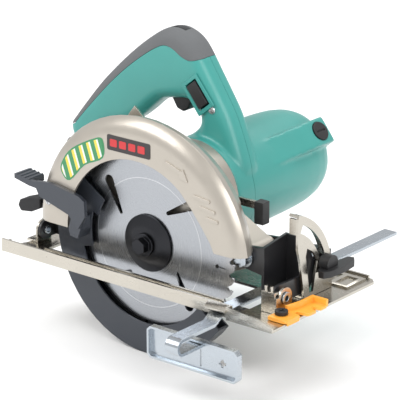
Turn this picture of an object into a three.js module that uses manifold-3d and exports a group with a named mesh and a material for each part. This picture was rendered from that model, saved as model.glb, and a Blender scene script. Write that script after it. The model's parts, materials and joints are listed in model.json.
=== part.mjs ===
// A 165 mm corded circular saw with its blade on the right, a pivoting spring guard, a bevelling and
// depth-adjusting base, and a rip guide. Millimetres. +X is the way the saw cuts, +Y is its left, +Z is up.
// Every dimension below is measured from the centre of the blade, so the blade lies in the plane y = 0.
import * as THREE from 'three';
import { mergeVertices } from 'three/addons/utils/BufferGeometryUtils.js';
import Module from 'manifold-3d';

const wasm = await Module();
wasm.setup();

// ---- Driving dimensions ----
const BLADE_R = 82.5;              // 165 mm blade
const BLADE_T = 1.6;
const TEETH = 48;
const SOLE_Z = -26.4;              // underside of the base below the blade centre
const BASE_T = 2;
const BASE_TOP = SOLE_Z + BASE_T;
const RIM_TOP = SOLE_Z + 10;       // folded right-hand edge of the base
const BASE_FRONT = 142.6, BASE_REAR = -124, BASE_RIGHT = -31.4, BASE_LEFT = 95;
const ORIGIN = { x: 0, y: 45 };    // the point of the sole that is the part's origin

const BEVEL = { y: 2, z: -14.2 };  // bevel axis, along X
const BEVEL_BOLT = { r: 51.1, deg: 15 };
const DEPTH = { x: 84, z: 5.5 };   // depth pivot, along Y
const LINK_R = 136;                // the depth link curves about the depth pivot
const LINK_DEG = 4;                // where the clamp stud sits on it with the saw fully down

const MOTOR = { x: 12, z: 32.21 }; // motor axis, parallel to the blade's
const MODULE = 1.25, GEAR_TEETH = 36, PINION_TEETH = 19;
const BRUSH_Y = 148, BRUSH_DEG = 38;

const CASE_FACE = -16.2;           // right-hand face of the blade case
const WINDOW_R = 68.6;
const GUARD_R = 88, GUARD_NEAR = -5.8, GUARD_FAR = 6.4;
const GUARD_FRONT_DEG = -36, GUARD_REAR_DEG = -213;

const HANDLE_Y = 60, HANDLE_HALF = 13; // the handle's halves meet in the plane y = 60
const GAP = 0.3;                   // clearance between pieces that touch

const rad = THREE.MathUtils.degToRad;
const at = (cx, cz, r, deg) => [cx + r * Math.cos(rad(deg)), cz + r * Math.sin(rad(deg))];

// ---- Materials ----
const paint = (color, roughness, metalness) => new THREE.MeshStandardMaterial({ color, roughness,
  metalness });
const TEAL = paint(0x4ea59e, 0.45, 0), GREY_GRIP = paint(0x808080, 0.8, 0), CAST = paint(0xbeb8ac, 0.4, 0.6);
const SLATE = paint(0x484c54, 0.5, 0.2), BLACK = paint(0x232326, 0.5, 0.1), NICKEL = paint(0xc9c2b4, 0.25,
  0.9);
const ZINC = paint(0xafbbc5, 0.3, 0.9), STEEL = paint(0x969ba2, 0.3, 1), ORANGE = paint(0xf5aa3c, 0.45, 0);
const COPPER = paint(0xb8734a, 0.35, 0.9), IRON = paint(0x5d5f63, 0.5, 0.8), CARBON = paint(0x2a2a2c, 0.8,
  0.1);
const RUBBER = paint(0x1c1c1e, 0.9, 0), CLEAR = paint(0xe8f1f5, 0.1, 0);

// ---- Solids ----
// Turns a closed three.js geometry into a solid with its faces pointing out.
function solid(geometry) {
  const plain = geometry.clone();
  plain.deleteAttribute('normal');
  plain.deleteAttribute('uv');
  const merged = mergeVertices(plain, 1e-4);
  const p = merged.attributes.position.array, index = merged.index.array;
  const tris = [];
  let volume = 0;
  for (let i = 0; i < index.length; i += 3) {
    const [a, b, c] = [index[i], index[i + 1], index[i + 2]];
    if (a === b || b === c || c === a) continue;
    tris.push(a, b, c);
    const [u, v, w] = [a, b, c].map((k) => new THREE.Vector3().fromArray(p, 3 * k));
    volume += u.dot(v.cross(w));
  }
  if (volume < 0) for (let i = 0; i < tris.length; i += 3) [tris[i], tris[i + 1]] = [tris[i + 1], tris[i]];
  const triVerts = Uint32Array.from(tris);
  return new wasm.Manifold(new wasm.Mesh({ numProp: 3, vertProperties: p, triVerts }));
}

const join = (first, ...rest) => rest.reduce((sum, next) => sum.add(next), first);
const cut = (first, ...rest) => rest.reduce((left, next) => left.subtract(next), first);

function mesh(name, body, material) {
  const { vertProperties, triVerts } = body.getMesh();
  const geometry = new THREE.BufferGeometry();
  geometry.setAttribute('position', new THREE.BufferAttribute(new Float32Array(vertProperties), 3));
  geometry.setIndex(new THREE.BufferAttribute(new Uint32Array(triVerts), 1));
  geometry.computeVertexNormals();
  const part = new THREE.Mesh(geometry, material.clone());
  part.name = name;
  return part;
}

function box(x0, x1, y0, y1, z0, z1) {
  const geometry = new THREE.BoxGeometry(x1 - x0, y1 - y0, z1 - z0);
  return solid(geometry.translate((x0 + x1) / 2, (y0 + y1) / 2, (z0 + z1) / 2));
}

const drum = (r, length, sides) => new THREE.CylinderGeometry(r, r, length, sides);
const rodY = (r, y0, y1, x = 0, z = 0, sides = 24) =>
  solid(drum(r, y1 - y0, sides).translate(x, (y0 + y1) / 2, z));
const rodX = (r, x0, x1, y, z, sides = 18) =>
  solid(drum(r, x1 - x0, sides).rotateZ(-Math.PI / 2).translate((x0 + x1) / 2, y, z));
const rodZ = (r, z0, z1, x, y, sides = 18) =>
  solid(drum(r, z1 - z0, sides).rotateX(Math.PI / 2).translate(x, y, (z0 + z1) / 2));
const hexY = (r, y0, y1, x = 0, z = 0) => rodY(r, y0, y1, x, z, 6);
const tubeY = (r0, r1, y0, y1, x = 0, z = 0, sides = 24) =>
  cut(rodY(r1, y0, y1, x, z, sides), rodY(r0, y0 - 1, y1 + 1, x, z, sides));

// A body turned about the Y direction: profile points are [radius, y].
const turned = (profile, x = 0, z = 0, sides = 36) =>
  solid(new THREE.LatheGeometry(profile.map(([r, y]) => new THREE.Vector2(r, y)), sides).translate(x, 0, z));

const outline = (points) => new THREE.Shape(points.map(([u, v]) => new THREE.Vector2(u, v)));
const TO_Y = new THREE.Matrix4().makeRotationX(Math.PI / 2);
const TO_X = new THREE.Matrix4().makeBasis(
  new THREE.Vector3(0, 1, 0), new THREE.Vector3(0, 0, 1), new THREE.Vector3(1, 0, 0));

// Flat plates: a shape in XZ, YZ or XY given thickness along the third direction.
function plateY(shape, y0, y1) {
  const flat = new THREE.ExtrudeGeometry(shape, { depth: y1 - y0, bevelEnabled: false, curveSegments: 16 });
  return solid(flat.applyMatrix4(TO_Y).translate(0, y1, 0));
}
function plateX(shape, x0, x1) {
  const flat = new THREE.ExtrudeGeometry(shape, { depth: x1 - x0, bevelEnabled: false, curveSegments: 16 });
  return solid(flat.applyMatrix4(TO_X).translate(x0, 0, 0));
}
function plateZ(shape, z0, z1) {
  const flat = new THREE.ExtrudeGeometry(shape, { depth: z1 - z0, bevelEnabled: false, curveSegments: 12 });
  return solid(flat.translate(0, 0, z0));
}

// A ring's sector about (cx, cz), from one angle to another, as a list of points.
function sector(cx, cz, r0, r1, deg0, deg1, steps = 24) {
  const outer = [], inner = [];
  for (let i = 0; i <= steps; i++) {
    const deg = deg0 + ((deg1 - deg0) * i) / steps;
    outer.push(at(cx, cz, r1, deg));
    inner.unshift(at(cx, cz, r0, deg));
  }
  return outline([...outer, ...inner]);
}

// Moves every side of an anticlockwise outline inwards by the same distance.
function inset(points, distance) {
  return points.map((p, i) => {
    const before = points[(i + points.length - 1) % points.length], after = points[(i + 1) % points.length];
    const a = new THREE.Vector2(p[0] - before[0], p[1] - before[1]).normalize();
    const b = new THREE.Vector2(after[0] - p[0], after[1] - p[1]).normalize();
    const normal = new THREE.Vector2(-a.y - b.y, a.x + b.x).normalize();
    const reach = distance / Math.max(0.4, normal.dot(new THREE.Vector2(-a.y, a.x)));
    return [p[0] + normal.x * reach, p[1] + normal.y * reach];
  });
}

// ---- Base ----
function basePlate() {
  const sheet = outline([[BASE_REAR, BASE_RIGHT], [101, BASE_RIGHT], [103, -35], [BASE_FRONT, -35],
    [BASE_FRONT, 91], [138.6, BASE_LEFT], [-70, BASE_LEFT], [-112, 62], [-118, -8], [BASE_REAR, -22]]);
  const slot = outline([[-96, -11], [104, -11], [104, 28], [28, 28], [28, 41], [-28, 41], [-28, 28], [-96,
    28]]);
  const rearRim = outline([[BASE_REAR, SOLE_Z], [82, SOLE_Z], [82, RIM_TOP], [BASE_REAR, RIM_TOP]]);
  const frontRim = outline([[101, SOLE_Z], [BASE_FRONT, SOLE_Z], [BASE_FRONT, -22.6], [128, -18.6], [101,
    RIM_TOP]]);
  const bridge = outline([[-29.6, RIM_TOP], [BASE_RIGHT, RIM_TOP], [-36.5, -19.4], [-36.5, -20.8], [-29.6,
    -20.8]]);
  const plate = join(
    plateZ(sheet, SOLE_Z, BASE_TOP),
    plateY(rearRim, BASE_RIGHT, BASE_RIGHT + 1.8),
    plateY(frontRim, -35, -33.2),
    plateX(bridge, 82, 101),
    box(80.2, 82, BASE_RIGHT, -29.6, SOLE_Z, RIM_TOP),
    box(101, 102.8, -35, -29.6, SOLE_Z, RIM_TOP),
    box(-96, 80, -13, -11, BASE_TOP, BASE_TOP + 1.6),
    box(BASE_REAR, BASE_REAR + 1.8, BASE_RIGHT, -22, SOLE_Z, RIM_TOP - 3),
    leftRim(), emboss(), guideSaddle(),
  );
  return mesh('base_plate', cut(plate, plateZ(slot, SOLE_Z - 1, RIM_TOP)), NICKEL);
}

// Low folded lip on the left, open where the guide bar passes.
const leftRim = () => join(
  box(-68, 85.8, 93.2, BASE_LEFT, SOLE_Z, BASE_TOP + 2.4), box(98.8, 136, 93.2, BASE_LEFT, SOLE_Z,
    BASE_TOP + 2.4));

// Raised rectangular frame pressed into the left front of the base.
function emboss() {
  const frame = outline([[104, 66], [136, 66], [136, 90], [104, 90]]);
  frame.holes.push(outline([[108, 70], [132, 70], [132, 86], [108, 86]]));
  return join(plateZ(frame, BASE_TOP - 0.5, BASE_TOP + 1.4), box(118, 122, 70, 86, BASE_TOP - 0.5,
    BASE_TOP + 1.4));
}

// Ear that carries a bevel pivot, standing on the base in the plane x.
function pivotEar(x0, x1) {
  const { y, z } = BEVEL, foot = BASE_TOP + GAP;
  const ear = join(rodX(8, x0, x1, y, z, 20), box(x0, x1, y - 8, y + 8, foot, z));
  return cut(ear, rodX(3.6, x0 - 1, x1 + 1, y, z));
}

function frontEar() {
  const side = box(113, 125, -9, -7.2, BASE_TOP + GAP, -8);
  const shelf = box(113, 125, -9, -5, -9.8, -8);
  const pegs = [116, 121].map((x) => rodZ(1.3, -8.5, -4, x, -7, 12));
  return mesh('front_pivot_ear', join(pivotEar(124.8, 126.8), side, box(124.8, 126.8, -9, -5,
    BASE_TOP + GAP, -12),
    shelf, ...pegs), NICKEL);
}

const rearEar = () => mesh('rear_pivot_ear', join(pivotEar(-111.5, -109.5),
  box(-121, -109.5, BEVEL.y - 8, BEVEL.y + 8, BASE_TOP + GAP, BASE_TOP + 2)), NICKEL);

function bevelQuadrant() {
  const { y, z } = BEVEL, foot = BASE_TOP + GAP;
  const arc = [];
  for (let deg = -2; deg <= 72; deg += 4.625) arc.push(at(y, z, 60.6, deg));
  const face = outline([[28.5, foot], [62.5, foot], ...arc, [19.7, 40], [19.6, 17], [22.9, 5.3]]);
  face.holes.push(outline([[34.5, -20.5], [39, -20.5], [41.5, -8], [44.2, 1.5], [38.5, 10.5], [31, 15],
    [29.3, 9]]));
  const plate = cut(plateX(face, 122.4, 124.4), plateX(sector(y, z, 47.9, 54.4, 10.5, 64.5, 12), 120, 126));
  const rim = plateX(sector(y, z, 58.2, 60.6, -2, 72, 16), 115.6, 124.4);
  const flange = box(116.2, 124.4, 19.7, 21.6, 28, 40);
  return mesh('bevel_quadrant', join(plate, rim, flange, box(112, 124, 28.5, 62.5, foot, foot + 2)), NICKEL);
}

// Hollow rivet that the frame tilts on.
const pivotPin = (name, x0, x1, headX0, headX1) => {
  const rivet = join(rodX(3.3, x0, x1, BEVEL.y, BEVEL.z), rodX(4.8, headX0, headX1, BEVEL.y, BEVEL.z));
  return mesh(name, cut(rivet, rodX(2.1, x0 - 5, x1 + 5, BEVEL.y, BEVEL.z, 12)), ZINC);
};

// The orange pointer hooks over the front edge; its notches mark the cut at 0 and at 45 degrees.
function sightGuide() {
  const z0 = BASE_TOP + GAP;
  const flat = outline([[127.4, -20], [141, -20], [144, -18], [144, -3.5], [137.5, -1.5], [137.5, 1.5],
    [146, 3],
    [147, 5], [147, 12], [141, 13.5], [141, 16.5], [147, 18], [147, 25], [144, 27], [131, 27], [131, 12],
      [128, 6]]);
  const wall = outline([[130, -3], [132.6, -3], [135.4, 9], [135.4, 27], [132.6, 27], [132.6, 11]]);
  const guide = join(plateZ(flat, z0, z0 + 2.2), plateZ(wall, z0 + 1, z0 + 6.5),
    box(132.6, 147, 24.4, 27, z0 + 1, z0 + 6.5),
    box(127.4, 143, -20, -3.4, z0 + 1, z0 + 2.8), box(BASE_FRONT + GAP, 144, -18, -4, SOLE_Z + 0.6,
      z0 + 2.8));
  return mesh('sight_guide', cut(guide, rodZ(2.6, SOLE_Z, 0, 133, -11)), ORANGE);
}

const sightScrew = () => {
  const z = BASE_TOP + GAP + 2.8 + GAP;
  const screw = join(rodZ(5, z, z + 3, 133, -11), rodZ(2.2, BASE_TOP + GAP, z + 1, 133, -11));
  return mesh('sight_guide_screw', cut(screw, box(132.4, 133.6, -14, -8, z + 1.6, z + 5),
    box(130, 136, -11.6, -10.4, z + 1.6, z + 5)), BLACK);
};

const GUIDE_BAR_X = [86.3, 98.3];

function guideKnob() {
  const [x, y] = [92.3, 86], z = -21.5 + GAP;
  const wing = outline([[x - 12, y - 3], [x + 12, y - 3], [x + 12, y + 3], [x - 12, y + 3]]);
  return mesh('guide_knob', join(rodZ(7, z + 5, z + 14, x, y), rodZ(3, z, z + 6, x, y), plateZ(wing, z + 7,
    z + 15)), BLACK);
}

// Saddle pressed up from the base to hold the guide bar down, with the hole for the knob's screw.
function guideSaddle() {
  const [x0, x1] = GUIDE_BAR_X, z = BASE_TOP;
  const saddle = join(box(x0 - 8, x0 - GAP, 80, 92, z - 1, z + 4.5), box(x1 + GAP, x1 + 8, 80, 92, z - 1,
    z + 4.5),
    box(x0 - 8, x1 + 8, 80, 92, z + 3.2, z + 5.4));
  return cut(saddle, rodZ(3.4, z - 1, z + 8, 92.3, 86));
}

// ---- Rip guide ----
function guideBar() {
  const top = -21.5, bottom = -24.1, bend = [-80, -34.2];
  const arc = (r, deg0, deg1) => Array.from({ length: 9 }, (_, i) =>
    at(...bend, r, deg0 + ((deg1 - deg0) * i) / 8));
  const profile = outline([[186, top], [-33.5, top], [-43, -27.4], ...arc(6.8, 90, 270), [-56.6, -41],
    [-56.6, -38.4],
    ...arc(4.2, 270, 90), [-43.8, -30], [-34.3, bottom], [186, bottom]]);
  return mesh('guide_bar', plateX(profile, ...GUIDE_BAR_X), ZINC);
}

function fencePlate() {
  const corners = [[50, -61], [128, -61], [131, -58], [131, -39.2], [128, -36.2], [50, -36.2], [47, -39.2],
    [47, -58]];
  const plate = cut(plateY(outline(corners), -59.8, -54.5), plateY(outline(inset(corners, 1.7)), -61, -56.3),
    rodY(2.2, -62, -50, 114.8, -49.8, 12), box(111.6, 118, -62, -50, -50.8, -48.8),
    box(113.8, 115.8, -62, -50, -53, -46.6),
    box(94.4, 95.6, -62, -50, -57, -43.6));
  return mesh('fence_plate', plate, ZINC);
}

// ---- Tilt frame ----
const BOLT = at(BEVEL.y, BEVEL.z, BEVEL_BOLT.r, BEVEL_BOLT.deg);

function frontBracket() {
  const { y, z } = BEVEL;
  const front = outline([[9.4, -21], [38.6, -22], [38.6, 20], [9.4, 16]]);
  const ear = outline([[84, -3.5], [101.4, -6], [101.4, 16], [84, 14.5]]);
  const web = outline([[2, -6.2], [36.2, -7], [36.2, 12.5], [38.6, 12.5], [46, 0], [50, -7], [38.6, -20.8],
    [10, -20.8], [2, -22.2]]);
  const side = plateY(outline([[101, -20.8], [120.4, -20.8], [120.4, 12.5], [115.8, 12.8], [111, 20], [101, 20]]), 36.2,
    38.6);
  const ears = [[9.4, 11.8], [36.2, 38.6]].map(([y0, y1]) =>
    join(plateY(ear, y0, y1), rodY(9, y0, y1, DEPTH.x, DEPTH.z)));
  const bracket = join(plateX(front, 99, 101.4), ...ears, side, plateX(web, 118, 120.4),
    rodX(8, 118, 120.4, y, z, 20), rodX(5.4, 118, 120.4, ...BOLT));
  return mesh('front_bracket', cut(bracket, rodY(4.3, 5, 45, DEPTH.x, DEPTH.z), rodX(3.6, 110, 125, y, z),
    rodX(3.3, 110, 125, ...BOLT)), BLACK);
}

function rearBracket() {
  const { y, z } = BEVEL;
  const arm = outline([[-109, -21], [-46, -21], [-44, -18], [-44, -9], [-46, -7], [-109, -7]]);
  const rivets = [-54, -48].map((x) => rodY(2.4, 14, 18.4, x, -14, 12));
  const bracket = join(rodX(8, -109, -106.8, y, z, 20), box(-109, -106.8, y, 15, -21, -7), plateY(arm, 12.6,
    15),
    ...rivets);
  return mesh('rear_bracket', cut(bracket, rodX(3.6, -112, -104, y, z)), BLACK);
}

// Curved link, slotted for the clamp stud: the saw's rear rises along it.
function depthLink() {
  const { x, z } = DEPTH, side = (deg) => 180 - deg;
  const link = plateY(sector(x, z, LINK_R - 9, LINK_R + 9, side(40), side(-11), 20), 15.3, 17.3);
  const slot = plateY(sector(x, z, LINK_R - 3.4, LINK_R + 3.4, side(37.5), side(2.4), 16), 14, 19);
  return mesh('depth_link', cut(link, slot, rodY(2.7, 14, 19, -54, -14, 12), rodY(2.7, 14, 19, -48, -14,
    12)), NICKEL);
}

const bevelBolt = () => mesh('bevel_bolt', join(rodX(3, 115, 131, ...BOLT), rodX(5, 114.6, 117.7, ...BOLT)),
  ZINC);

function bevelLever() {
  const paddle = outline([[126.5, 42], [130, 38], [134, 38.5], [137, 44], [138, 60], [136.5, 74], [132.5,
    79], [128, 77],
    [126, 60]]);
  const lever = join(rodX(6.8, 124.8, 133, ...BOLT), plateZ(paddle, -8.6, -3.6), box(126, 132, 47, 56, -6,
    -1));
  return mesh('bevel_lever', cut(lever, rodX(3.3, 124, 131.4, ...BOLT)), BLACK);
}

function depthPivotBolt() {
  const { x, z } = DEPTH;
  return mesh('depth_pivot_bolt', join(rodY(4, 3, 44, x, z), rodY(7.6, 7.4, 9.1, x, z), hexY(6.4, 2.4, 7.5,
    x, z),
    hexY(6.4, 38.9, 43, x, z)), ZINC);
}

// ---- Blade case and gear housing ----
function bladeCase() {
  const outer = turned([[0, CASE_FACE], [87, CASE_FACE], [92.5, -15.4], [98, -12.4], [100.6, -8], [99, -2],
    [91, 11], [0, 11]], 0, 0, 60);
  const inner = turned([[0, -14], [86.5, -14], [91, -13.3], [95.6, -10.7], [97.8, -7.6], [96.4, -2], [90,
    8.8],
    [0, 8.8]], 0, 0, 60);
  const window = [];
  for (let deg = 186; deg >= 52; deg -= 5.583) window.push(at(0, 0, WINDOW_R, deg));
  const opening = plateY(outline([...window, [52.3, 43.8], [63, 30.8], [71, 20], [74.5, 13], [120, 13],
    [120, -120],
    [-68, -120]]), CASE_FACE - 2, -10);
  return mesh('blade_case', cut(cut(outer, inner), opening,
    box(-120, -45, -30, 20, -120, 1), box(60, 120, -30, 20, -120, 13), box(-120, 120, -30, 8.7, -120, 1),
    box(-120, 120, -30, 20, -120, -18), box(60, 120, 7.2, 20, -20, 46), rodY(11, -4, 20, DEPTH.x, DEPTH.z),
    rodY(15, 5, 20, 0, 0)), CAST);
}

// The cup behind the case that holds the gears, with the boss that the depth pivot runs through.
function gearHousing() {
  const { x, z } = MOTOR;
  const cup = join(rodY(26.1, 11.3, 40, 0, 0, 32), rodY(42, 11.3, 40, x, z, 40));
  const lug = join(plateY(outline([[20, -24], [56, -16], [84, -4.5], [84, 15.5], [56, 30], [28, 50]]), 12.2,
    35.8),
    rodY(10, 12.2, 35.8, DEPTH.x, DEPTH.z));
  const hollow = join(rodY(24.3, 15, 41, 0, 0, 28), rodY(38.6, 15, 41, x, z, 32));
  const boss = rodY(18.4, 14, 19, 0, 0);
  return mesh('gear_housing', cut(join(cut(join(cup, lug), hollow), boss), rodY(15.3, 10, 20, 0, 0),
    rodY(4.3, 5, 45, DEPTH.x, DEPTH.z), box(36, 70, 19.2, 22.6, 39.2, 46.8)), CAST);
}

// Bulkhead between the gears and the motor.
function motorBracket() {
  const { x, z } = MOTOR;
  const plate = join(rodY(23.9, 35.5, 39.8, 0, 0, 28), rodY(38.2, 35.5, 39.8, x, z, 32));
  return mesh('motor_bracket', cut(plate, rodY(7.4, 30, 45, 0, 0), rodY(11.3, 30, 45, x, z)), CAST);
}

const guardRing = () => mesh('guard_bearing_ring', tubeY(13, 20, 4.95, 8.5, 0, 0, 40), STEEL);
const guardSpring = () => {
  const wire = Array.from({ length: 7 }, (_, i) => at(23.2, 7.6, 0.65, -60 * i));
  return mesh('guard_spring', turned(wire, 0, 0, 20), STEEL);
};
const bearing = (name, r0, r1, y0, y1, x, z) => mesh(name, tubeY(r0, r1, y0, y1, x, z, 24), STEEL);

function lightModule() {
  const body = join(box(-2.2, 2.2, -4, 4, -5, 5), box(-1, 1, -7.2, -3, 1, 4));
  return mesh('light_module', body.transform(new THREE.Matrix4().makeTranslation(...LIGHT).elements), BLACK);
}
const LIGHT = [88.7, -4, 20.8];
const lightLens = () => mesh('light_lens', rodZ(2, LIGHT[2] - 7.4, LIGHT[2] - 5.3, LIGHT[0], LIGHT[1], 16),
  CLEAR);

// ---- Handle and motor housing ----
const HANDLE_OUTER = [[-124, 58], [-121, 47], [-112, 39], [-95, 33], [-72, 27], [-40, 22], [-28, 20], [10,
  20], [40, 26],
  [47, 36], [50.5, 48], [49.5, 58], [44, 74], [36, 93], [26, 109], [15, 125.5], [8, 136], [1, 144.5], [-7,
    149.8],
  [-18, 152.6], [-30, 149.8], [-44, 141], [-60, 128.5], [-76, 114], [-92, 98], [-107, 80.5], [-119.5, 65]];
const HANDLE_LOOP = [[-86, 62], [-76, 55], [-60, 51], [-40, 51], [-22, 56], [-8, 68], [4, 78], [7.5, 86],
  [4, 94.5], [-3, 98.5], [-12, 98.5], [-20, 97], [-30, 94.5], [-39, 88], [-48, 80], [-60, 71.5], [-74, 66.5]];
// Lower edge of the soft grip on the handle's sides, from the rear to the front.
const GRIP_EDGE = [[-117, 60], [-108, 70], [-92, 87], [-76, 103], [-60, 117], [-44, 129], [-32, 136.5],
  [-24, 139.5],
  [-16, 138], [-8, 133.5], [0, 131.5], [9, 133.5]];

// A plate of the handle's shape with rounded edges.
function handleForm(shrink, half) {
  const round = 5.5;
  const shape = outline(inset(HANDLE_OUTER, shrink + round));
  shape.holes.push(outline(inset(HANDLE_LOOP, -shrink - round)));
  const geometry = new THREE.ExtrudeGeometry(shape, {
    depth: 2 * (half - round), bevelEnabled: true, bevelSize: round, bevelThickness: round,
      bevelSegments: 2 });
  return solid(geometry.applyMatrix4(TO_Y).translate(0, HANDLE_Y + half - round, 0));
}

function gripZone(lower) {
  const edge = GRIP_EDGE.map(([x, z], i) => [x + 0.7 * lower, z - 0.7 * lower - (i ? 0 : lower)]);
  return plateY(outline([...edge, [30, 160], [-60, 175], [-140, 90], [-140, 50]]), 40, 80);
}

const MOTOR_PROFILE = [[42, 40.3], [42, 62], [40.6, 118], [39, 147], [34.5, 164], [27, 171], [0, 173]];

// The brush boss grows out of the barrel towards its far end.
function brushBoss(deg, grow) {
  const ramp = outline([[30, 84], [39.5, 84], [44, 122], [47.5, 138], [47.5, 158], [43, 163], [30, 163]].map(
    ([r, y]) => [r + (r > 35 ? grow : 0), y]));
  const body = solid(new THREE.ExtrudeGeometry(ramp, { depth: 22, bevelEnabled: false }).translate(0, 0,
    -11));
  return body.transform(new THREE.Matrix4().makeTranslation(MOTOR.x, 0, MOTOR.z)
    .multiply(new THREE.Matrix4().makeRotationY(-rad(deg))).elements);
}

const barrel = () => turned([[0, 40.3], ...MOTOR_PROFILE], MOTOR.x, MOTOR.z, 36);
const barrelHollow = () => turned([[0, 39], [39.2, 39], [39.2, 62], [37.4, 128], [34, 155], [25, 167.5], [0,
  169]],
  MOTOR.x, MOTOR.z, 28);

// Both moulded halves before they are parted in the handle's mid-plane.
function tealBody() {
  const grip = handleForm(0, HANDLE_HALF), core = handleForm(2.3, HANDLE_HALF - 2.3);
  const shell = join(grip, barrel(), brushBoss(BRUSH_DEG, 0), brushBoss(BRUSH_DEG + 180, 0));
  const soft = cut(gripZone(GAP), core);
  const loop = outline(inset(HANDLE_OUTER, 6));
  loop.holes.push(outline(inset(HANDLE_LOOP, -6)));
  const inside = plateY(loop, HANDLE_Y - 8.5, HANDLE_Y + 8.5);
  const hollow = cut(shell, soft, barrelHollow(), inside);
  const rearBoss = tubeY(9.9, 13, 158, 171, MOTOR.x, MOTOR.z, 24);
  const brushHoles = [BRUSH_DEG, BRUSH_DEG + 180].map((deg) => radial(8.2, 33, 52, deg, BRUSH_Y));
  return cut(join(hollow, rearBoss), ...brushHoles, triggerWell(), switchWell(), buttonWell(), glandWell(),
    ...vents());
}

// A round bar that points out of the motor axis.
function radial(r, from, to, deg, y, sides = 24) {
  const bar = drum(r, to - from, sides).rotateZ(-Math.PI / 2).translate((from + to) / 2, y, 0);
  return solid(bar.rotateY(-rad(deg)).translate(MOTOR.x, 0, MOTOR.z));
}

const vents = () => [-20, -8, 4, 16].flatMap((z) => [
  box(MOTOR.x - 60, MOTOR.x - 25, 100, 122, MOTOR.z + z, MOTOR.z + z + 4)]);

const handleCover = () => mesh('handle_cover', tealBody().intersect(box(-150, 100, 30, HANDLE_Y - GAP / 2,
  0, 170)), TEAL);
const motorHousing = () => mesh('motor_housing',
  tealBody().intersect(box(-150, 100, HANDLE_Y + GAP / 2, 180, -20, 170)), TEAL);

const softGrip = () => mesh('soft_grip',
  cut(handleForm(0, HANDLE_HALF).intersect(gripZone(0)), handleForm(2, HANDLE_HALF - 2), buttonWell()),
    GREY_GRIP);

// Trigger: it slides up into the grip along the finger's pull.
const TRIGGER = [[-27, 112], [-2, 122], [1, 112], [-3.5, 97], [-7, 90.5], [-12, 87.5], [-18, 89.5],
  [-22, 96], [-27, 103]];
const trigger = () => mesh('trigger', plateY(outline(TRIGGER), 54, 66), BLACK);
const triggerWell = () => plateY(outline([[-35.5, 122], [-4, 136], [6, 114], [1, 99], [-10, 84], [-21, 86],
  [-28.4, 102]]),
  53.4, 66.6);

// Light switch: a rocker in a raised surround on the handle's right side.
const SWITCH = { x: 9.3, y: 47, z: 107, deg: -51 };
function onSwitch(body) {
  return body.transform(new THREE.Matrix4().makeTranslation(SWITCH.x, SWITCH.y, SWITCH.z)
    .multiply(new THREE.Matrix4().makeRotationY(-rad(SWITCH.deg))).elements);
}
const switchBezel = () => mesh('switch_bezel', onSwitch(cut(box(-14, 14, -1.6, -GAP, -9, 9), box(-11, 11,
  -3, 1, -6, 6))), TEAL);
const switchWell = () => onSwitch(box(-11, 11, -4, 6, -6, 6));
const lightSwitch = () => mesh('light_switch', onSwitch(box(-9.9, 9.9, -2.6, 2, -5.2, 5.2)), BLACK);

// Lock button in the top of the grip.
const buttonWell = () => box(-25, -11, 56.4, 63.6, 136, 160);
const lockButton = () => mesh('lock_button', box(-24.4, -11.6, 57, 63, 141, 150.6), BLACK);

// Rubber bush where the cord would enter, at the handle's lower rear end.
const glandAxis = (r, from, to) => {
  const bar = drum(r, to - from, 24).rotateZ(Math.PI / 2).translate(-(from + to) / 2, 0, 0);
  return solid(bar.rotateY(-rad(28)).translate(-108, HANDLE_Y, 46));
};
const glandWell = () => glandAxis(6.3, 4, 30);
const cordGland = () => mesh('cord_gland', cut(join(glandAxis(6, 8, 26), glandAxis(8.2, 20, 24)),
  glandAxis(3.6, 0, 40)), RUBBER);

// ---- Motor ----
function statorCore() {
  const { x, z } = MOTOR;
  const poles = [BRUSH_DEG + 90, BRUSH_DEG + 270].map((deg) => join(
    plateY(sector(x, z, 21.3, 24, deg - 34, deg + 34, 10), 72, 118),
      plateY(sector(x, z, 23, 32, deg - 20, deg + 20, 6), 72, 118)));
  return mesh('stator_core', join(tubeY(31, 36.4, 72, 118, x, z, 24), ...poles), IRON);
}

function fieldCoil(name, deg) {
  const { x, z } = MOTOR;
  return mesh(name, cut(plateY(sector(x, z, 24.4, 30.6, deg - 34, deg + 34, 10), 65, 125),
    plateY(sector(x, z, 20, 35, deg - 20.8, deg + 20.8, 6), 71.6, 118.4)), COPPER);
}

// Teeth of a spur gear as an outline about the origin; the teeth are thinned for running clearance.
function gearOutline(teeth, phaseDeg, addendum) {
  const pitch = (MODULE * teeth) / 2, root = pitch - 1.25 * MODULE, tip = pitch + addendum * MODULE,
    points = [];
  const half = (mm, r) => THREE.MathUtils.radToDeg(mm / r);
  for (let i = 0; i < teeth; i++) {
    const deg = phaseDeg + (360 * i) / teeth;
    points.push(at(0, 0, root, deg - half(1.15, root)), at(0, 0, tip, deg - half(0.35, tip)),
      at(0, 0, tip, deg + half(0.35, tip)), at(0, 0, root, deg + half(1.15, root)));
  }
  return outline(points);
}
const LINE_DEG = THREE.MathUtils.radToDeg(Math.atan2(MOTOR.z, MOTOR.x)); // from the blade axis to the motor's

function armatureShaft() {
  const pinion = plateY(gearOutline(PINION_TEETH, LINE_DEG + 180 + 180 / PINION_TEETH, 0.8), 22.6,
    33).translate([MOTOR.x, 0, MOTOR.z]);
  return mesh('armature_shaft', join(rodY(5, 33, 168, MOTOR.x, MOTOR.z, 20), pinion, rodY(4, 19, 34,
    MOTOR.x, MOTOR.z, 20)), STEEL);
}

function fan() {
  const { x, z } = MOTOR;
  const vane = (deg) => {
    const blade = new THREE.BoxGeometry(21, 9, 1.6).translate(22.5, 0, 0).rotateY(-rad(deg + 14));
    return solid(blade.translate(x, 49, z));
  };
  return mesh('fan', cut(join(rodY(33.5, 53, 55, x, z, 24), rodY(13, 45, 54, x, z, 24),
    ...Array.from({ length: 9 },
    (_, i) => vane(40 * i))), rodY(5.3, 40, 60, x, z, 20)), BLACK);
}

const onMotor = (name, r0, r1, y0, y1, material, sides = 20) =>
  mesh(name, tubeY(r0, r1, y0, y1, MOTOR.x, MOTOR.z, sides), material);

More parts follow.
